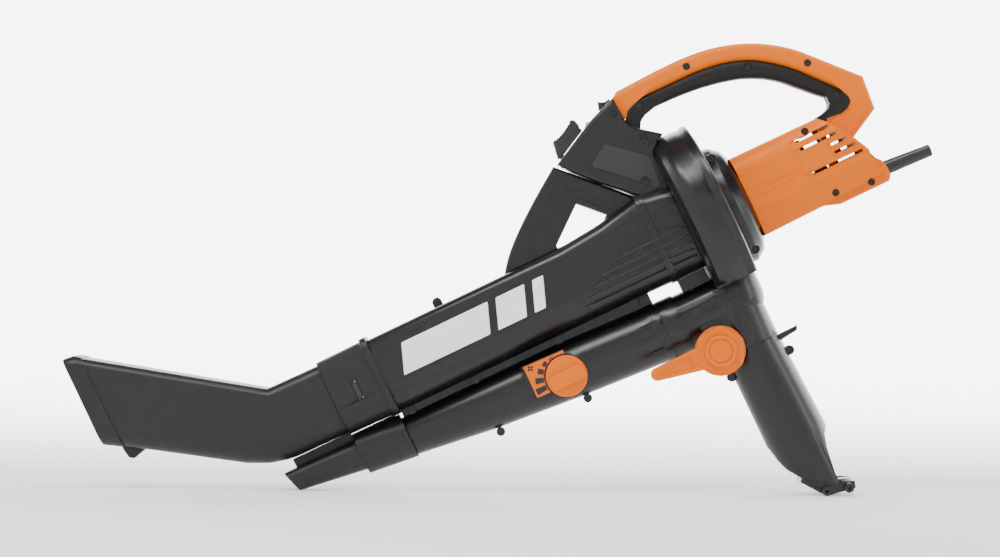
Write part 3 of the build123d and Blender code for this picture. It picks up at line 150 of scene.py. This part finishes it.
# ---- small moulded pieces ------------------------------------------------------------------------
def piece(name, bm, material, body):
    """Turn a finished bmesh into a piece that rides on a body and names its finish."""
    bmesh.ops.recalc_face_normals(bm, faces=bm.faces)
    mesh = bpy.data.meshes.new(name)
    bm.to_mesh(mesh)
    bm.free()
    mesh.materials.append(MATERIALS[material])
    obj = bpy.data.objects.new(name, mesh)
    bpy.context.scene.collection.objects.link(obj)
    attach(obj, body)
    return obj


def add_slab(bm, outline, y_inner, y_outer, chamfer=0.0):
    """Add a slab with a chamfered outer rim: an (x, z) outline given between two depths in y."""
    n = len(outline)
    cx = sum(p[0] for p in outline) / n
    cz = sum(p[1] for p in outline) / n
    y_rim = y_outer - chamfer if y_outer > y_inner else y_outer + chamfer
    rings = [(y_inner, 0.0), (y_rim, 0.0), (y_outer, chamfer)]
    rows = []
    for y, draw_in in rings:
        row = []
        for x, z in outline:
            far = max(sqrt((x - cx) ** 2 + (z - cz) ** 2), 1e-6)
            share = 1 - draw_in / far
            row.append(bm.verts.new(at(cx + (x - cx) * share, y, cz + (z - cz) * share)))
        rows.append(row)
    for low, high in zip(rows, rows[1:]):
        for i in range(n):
            bm.faces.new((low[i], low[(i + 1) % n], high[(i + 1) % n], high[i]))
    bm.faces.new(rows[0])
    bm.faces.new(rows[-1])


def rounded(points, radius, steps=4):
    """The outline with each corner rounded."""
    result = []
    n = len(points)
    for i in range(n):
        corner = Vector(points[i])
        back = Vector(points[i - 1]) - corner
        ahead = Vector(points[(i + 1) % n]) - corner
        reach = min(radius, back.length / 2.2, ahead.length / 2.2)
        start = corner + back.normalized() * reach
        end = corner + ahead.normalized() * reach
        for k in range(steps + 1):
            t = k / steps
            p = start * (1 - t) ** 2 + corner * 2 * t * (1 - t) + end * t * t
            result.append((p.x, p.y))
    return result


def slabs(name, outlines, y_inner, y_outer, material, body, chamfer=0.15, mirror=False):
    """Several slabs as one piece, on the left side or on both."""
    bm = bmesh.new()
    for outline in outlines:
        add_slab(bm, outline, y_inner, y_outer, chamfer)
        if mirror:
            add_slab(bm, outline, -y_inner, -y_outer, chamfer)
    return piece(name, bm, material, body)


def slanted(x0, x1, z0, z1, lean):
    """A round-cornered parallelogram whose upper edge is shifted forward by the lean."""
    corner_r = 1.5
    return rounded([(x0, z0), (x1, z0), (x1 + lean, z1), (x0 + lean, z1)], corner_r)


# plain stripes on the sides of the vacuum tube
TUBE_SIDE = 45.0
STRIPE_LOW = -16
STRIPE_TOP = 22
STRIPE_LEAN = 14
STRIPE_SPANS = [(-478, -360), (-349, -310), (-299, -284)]
stripes = [slanted(x0, x1, STRIPE_LOW, STRIPE_TOP, STRIPE_LEAN) for x0, x1 in STRIPE_SPANS]
slabs("tube_stripes", stripes, -TUBE_SIDE + 0.2, -TUBE_SIDE - 0.3, "pale_mark", "housing", 0.1,
      mirror=True)

# plain raised bars on the flat sides of the motor housing
MOTOR_SIDE = 49.8
bars = [slanted(16, 60, -4, 2, 3), slanted(20, 76, 5, 11, 3), slanted(72, 100, -4, 2, 3)]
slabs("motor_bars", bars, -MOTOR_SIDE, -MOTOR_SIDE - 0.7, "orange_shell", "housing", 0.3,
      mirror=True)

# scale beside the air dial: five blocks that grow, and a small four-bladed fan sign
DIAL = (-297.2, -103.4)
LABEL_Y = -38.82


def sector(a0, a1, r0, r1, centre=DIAL, steps=8):
    """A block between two radii and two angles, in degrees from +X towards +Z."""
    angles = [radians(a0 + (a1 - a0) * k / steps) for k in range(steps + 1)]
    outer = [(centre[0] + r1 * cos(a), centre[1] + r1 * sin(a)) for a in angles]
    inner = [(centre[0] + r0 * cos(a), centre[1] + r0 * sin(a)) for a in reversed(angles)]
    return outer + inner


BLOCK_START_R = 28.6          # every block starts here, and each one reaches 3 mm further
blocks = [sector(101 + 19.2 * i, 113.5 + 19 * i, BLOCK_START_R, 30.4 + 3.0 * i) for i in range(5)]
SIGN = (-334.0, -75.8)
BLADE = ((0.8, -0.9), (3.2, -0.55), (4.3, -0.2), (4.3, 0.25), (3.4, 0.5), (0.8, 0.9))  # (r, turn)
blades = []
for k in range(4):
    a = radians(90 * k + 20)
    blades.append([(SIGN[0] + r * cos(a + s), SIGN[1] + r * sin(a + s)) for r, s in BLADE])
slabs("dial_scale", blocks + blades, LABEL_Y + 0.05, LABEL_Y - 0.12, "dark_ink", "housing", 0.02)

# pointer on the dial's grip bar
POINTER = [(-318.5, -105.4), (-313.0, -101.8), (-313.0, -109.0)]
slabs("dial_pointer", [rounded(POINTER, 0.8)], -52.8, -53.4, "orange_control", "air_dial", 0.2)

# slats on both sides of the latch
SLAT_COUNT = 6
SLAT_START = (-177.0, 168.6)
SLAT_STEP = (4.6, 2.05)
slats = []
for k in range(SLAT_COUNT):
    x = SLAT_START[0] + SLAT_STEP[0] * k
    top = SLAT_START[1] + SLAT_STEP[1] * k
    corners = [(x, top), (x + 2.3, top + 1.0), (x + 5.4, top - 9.4), (x + 3.1, top - 10.0)]
    slats.append(rounded(corners, 0.5, 2))
slabs("latch_slats", slats, -14.9, -15.9, "black_control", "tube_latch", 0.3, mirror=True)

# rails that cross the joint between the vacuum tube and the inlet neck
RAIL_HEIGHTS = [1.2, -9.5, -19.0, -29.0, -38.5]
RAIL_END = -86.8
RAIL_FRONT = -236            # where the low rails start; the higher ones start further back
RAIL_SLOPE = 86 / 48         # by this much for each mm above RAIL_BEND
RAIL_BEND = -28
RAIL_LIFT = 1.6
RAIL_SINK = 0.6
RAIL_STEPS = 40
# the tube's side at four stations: x, half width, lower edge and the radius of the lower corner
TUBE_SIDES = [
    (-240.0, 45.0, -54.7, 34.0),
    (-180.0, 46.5, -54.7, 34.0),
    (-124.0, 48.0, -55.9, 34.5),
    (-83.0, 49.0, -56.0, 35.0),
]


def tube_side(x, z):
    """Half width of the tube's outer side at x and z, between its stations."""
    for (x0, *a), (x1, *b) in zip(TUBE_SIDES, TUBE_SIDES[1:]):
        if x <= x1:
            t = (x - x0) / (x1 - x0)
            half, low, r = (u + (v - u) * t for u, v in zip(a, b))
            below = max(0.0, low + r - z)
            return half - r + sqrt(max(r * r - below * below, 0.0))
    return TUBE_SIDES[-1][1]


def add_rail(bm, z, side):
    """Add one rail at a height, on the left (-1) or the right (1); both ends taper off."""
    start = RAIL_FRONT + max(0.0, z - RAIL_BEND) * RAIL_SLOPE
    rows = []
    for k in range(RAIL_STEPS + 1):
        x = start + (RAIL_END - start) * k / RAIL_STEPS
        lift = RAIL_LIFT * min(1.0, k / 3, (RAIL_STEPS - k) / 1.5 + 0.2)
        row = []
        for dz, proud in ((-1.1, -RAIL_SINK), (-0.8, lift), (0.8, lift), (1.1, -RAIL_SINK)):
            row.append(bm.verts.new(at(x, side * (tube_side(x, z + dz) + proud), z + dz)))
        rows.append(row)
    for low, high in zip(rows, rows[1:]):
        for i in range(4):
            bm.faces.new((low[i], low[(i + 1) % 4], high[(i + 1) % 4], high[i]))
    bm.faces.new(rows[0])
    bm.faces.new(rows[-1])


rails = bmesh.new()
for rail_z in RAIL_HEIGHTS:
    for rail_side in (-1, 1):
        add_rail(rails, rail_z, rail_side)
piece("inlet_rails", rails, "black_control", "housing")

# three vanes where the switch housing meets the fan casing
vanes = []
for x in (-88, -81, -74):
    corners = [(x, 118.5), (x + 3.0, 119.5), (x + 9.5, 111.0), (x + 6.5, 109.5)]
    vanes.append(rounded(corners, 0.6, 2))
slabs("casing_vanes", vanes, -31.0, -33.4, "black_shell", "housing", 0.5, mirror=True)

# stop piece behind the latch
STOP = [(-147.5, 160.5), (-138.5, 170.8), (-131.5, 168.6), (-129.0, 166.0)]
slabs("latch_stop", [rounded(STOP, 1.0, 3)], -6.0, 6.0, "grey_plastic", "housing", 0.4)


def on_tube(name, loops, radius, centre_z, height, material, body):
    """Raised bands on the side of a tube along X, each between an inner and an outer loop."""
    sink = 0.2
    bm = bmesh.new()
    for inner, outer in loops:
        n = len(inner)
        rows = []
        for outline, lift in ((inner, -sink), (inner, height), (outer, height), (outer, -sink)):
            row = []
            for x, z in outline:
                side = sqrt(radius**2 - (z - centre_z) ** 2)
                row.append(bm.verts.new(at(x, -(side + lift), z)))
            rows.append(row)
        for low, high in zip(rows, rows[1:] + rows[:1]):
            for i in range(n):
                bm.faces.new((low[i], low[(i + 1) % n], high[(i + 1) % n], high[i]))
    return piece(name, bm, material, body)


def ring(centre, r_inner, r_outer, steps=40):
    """Inner and outer loops of a flat ring."""
    angles = [2 * pi * k / steps for k in range(steps)]
    loops = []
    for r in (r_inner, r_outer):
        loops.append([(centre[0] + r * cos(a), centre[1] + r * sin(a)) for a in angles])
    return loops


def hollow(points, band):
    """Inner and outer loops of a hollow sign."""
    n = len(points)
    cx = sum(p[0] for p in points) / n
    cz = sum(p[1] for p in points) / n
    inner = [(cx + (x - cx) * (1 - band), cz + (z - cz) * (1 - band)) for x, z in points]
    return inner, points


# two rings and a hollow arrow on the duct
DUCT_SIGN = (-116, -105)
DUCT_R = 36.0
DUCT_Z = -107.5
ARROW = [(-132, -105), (-123, -110.5), (-123, -99.5)]
sign_loops = [ring(DUCT_SIGN, 8.2, 9.4), ring(DUCT_SIGN, 4.4, 5.4), hollow(ARROW, 0.4)]
on_tube("duct_sign", sign_loops, DUCT_R, DUCT_Z, 0.35, "black_shell", "housing")


# ---- floor, light and camera -------------------------------------------------------------------
ROOM = 14.0                  # radius of the round studio, in metres
ROOM_TOP = 9.0
ROOM_CURVE = 4.0             # radius of the bend from the floor to the wall
ROOM_SIDES = 48
PALE = 0.6
FLOOR_GLOW = 0.5
BACKDROP_GLOW = 5.5
GLOW_FROM = 0.3              # the glow grows between these distances behind the machine
GLOW_FULL = 3.0


def studio_room():
    """A pale floor that curves up all around into a round wall and glows behind the machine."""
    mesh = bpy.data.meshes.new("studio_floor")
    arc = [radians(a) for a in range(10, 91, 10)]
    profile = [(ROOM * k / 8, 0.0) for k in range(1, 6)] + [(ROOM - ROOM_CURVE, 0.0)]
    profile += [(ROOM - ROOM_CURVE + ROOM_CURVE * sin(a), ROOM_CURVE * (1 - cos(a))) for a in arc]
    profile += [(ROOM, ROOM_TOP)]
    turns = [2 * pi * k / ROOM_SIDES for k in range(ROOM_SIDES)]
    verts = [(0.0, 0.0, 0.0)]
    verts += [(r * cos(turn), r * sin(turn), z) for r, z in profile for turn in turns]
    faces = [(0, 1 + k, 1 + (k + 1) % ROOM_SIDES) for k in range(ROOM_SIDES)]
    for i in range(len(profile) - 1):
        low = 1 + i * ROOM_SIDES
        high = low + ROOM_SIDES
        for k in range(ROOM_SIDES):
            step = (k + 1) % ROOM_SIDES
            faces.append((low + k, high + k, high + step, low + step))
    mesh.from_pydata(verts, [], faces)
    mat = bpy.data.materials.new("studio_floor")
    mat.use_nodes = True
    shader = mat.node_tree.nodes["Principled BSDF"]
    shader.inputs["Base Color"].default_value = (PALE, PALE, PALE, 1)
    shader.inputs["Roughness"].default_value = 0.9
    shader.inputs["Emission Color"].default_value = (1, 1, 1, 1)
    where = mat.node_tree.nodes.new("ShaderNodeTexCoord")
    split = mat.node_tree.nodes.new("ShaderNodeSeparateXYZ")
    ramp = mat.node_tree.nodes.new("ShaderNodeMapRange")
    ramp.inputs["From Min"].default_value = GLOW_FROM
    ramp.inputs["From Max"].default_value = GLOW_FULL
    ramp.inputs["To Min"].default_value = FLOOR_GLOW
    ramp.inputs["To Max"].default_value = BACKDROP_GLOW
    mat.node_tree.links.new(where.outputs["Object"], split.inputs["Vector"])
    mat.node_tree.links.new(split.outputs["Y"], ramp.inputs["Value"])
    mat.node_tree.links.new(ramp.outputs["Result"], shader.inputs["Emission Strength"])
    mesh.materials.append(mat)
    for face in mesh.polygons:
        face.use_smooth = True
    floor = bpy.data.objects.new("studio_floor", mesh)
    bpy.context.scene.collection.objects.link(floor)


studio_room()


def area_light(name, place, target, size, power):
    """A rectangular soft light at a place, turned to a target; metres and watts."""
    data = bpy.data.lights.new(name, "AREA")
    data.shape = "RECTANGLE"
    data.size, data.size_y = size
    data.energy = power
    lamp = bpy.data.objects.new(name, data)
    bpy.context.scene.collection.objects.link(lamp)
    lamp.location = place
    lamp.rotation_euler = (Vector(target) - Vector(place)).to_track_quat("-Z", "Y").to_euler()


area_light("key", (-0.9, -1.1, 2.2), (0, 0, 0.25), (1.3, 0.4), 36)
area_light("top", (0.3, -0.2, 2.1), (0, 0, 0.2), (2.4, 0.4), 36)
area_light("side", (2.2, -0.9, 0.9), (0.1, 0, 0.3), (0.3, 1.4), 9)

WORLD_LIGHT = 0.08
world = bpy.data.worlds.new("studio")
world.use_nodes = True
background = world.node_tree.nodes["Background"]
background.inputs["Color"].default_value = (1, 1, 1, 1)
background.inputs["Strength"].default_value = WORLD_LIGHT
bpy.context.scene.world = world

VIEW_WIDTH = 1.25            # metres of the machine's middle plane that the frame spans
CAMERA_FAR = 4.0
CAMERA_SIDE = 0.0009
CAMERA_HEIGHT = 0.2659
CAMERA_ROLL = 0.55           # degrees
SENSOR = 36.0                # millimetres

camera_data = bpy.data.cameras.new("camera")
camera_data.sensor_width = SENSOR
camera_data.lens = SENSOR * CAMERA_FAR / VIEW_WIDTH
camera = bpy.data.objects.new("camera", camera_data)
bpy.context.scene.collection.objects.link(camera)
camera.matrix_world = (
    Matrix.Translation((CAMERA_SIDE, -CAMERA_FAR, CAMERA_HEIGHT))
    @ Matrix.Rotation(pi / 2, 4, "X")
    @ Matrix.Rotation(radians(CAMERA_ROLL), 4, "Z")
)
bpy.context.scene.camera = camera
